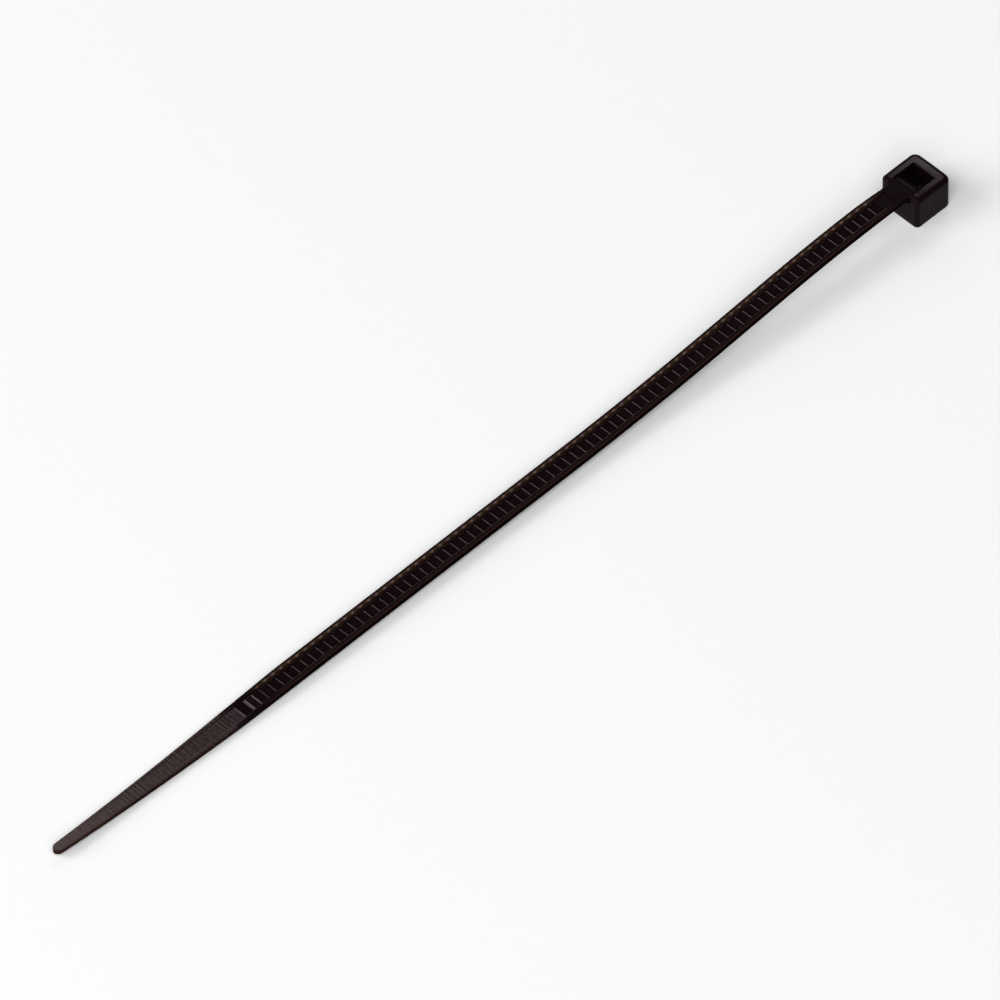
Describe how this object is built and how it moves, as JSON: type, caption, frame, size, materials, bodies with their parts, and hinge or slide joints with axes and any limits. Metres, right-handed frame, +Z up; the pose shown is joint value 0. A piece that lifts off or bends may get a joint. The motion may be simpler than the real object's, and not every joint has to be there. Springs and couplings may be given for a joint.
{
  "type": "cable tie",
  "caption": "Black cable tie with a toothed strap, a plain tapered tail and a square head with a slot and a pawl.",
  "frame": {"origin": "middle of the slot on the head's base", "axes": "+X from the tip to the head, +Z up from the table, +Y across the strap"},
  "size_m": [0.1151, 0.0048, 0.0039],
  "materials": {
    "black_nylon": "semi-matte moulded nylon"
  },
  "bodies": {
    "root": {"cable_tie": "black_nylon"}
  },
  "joints": []
}
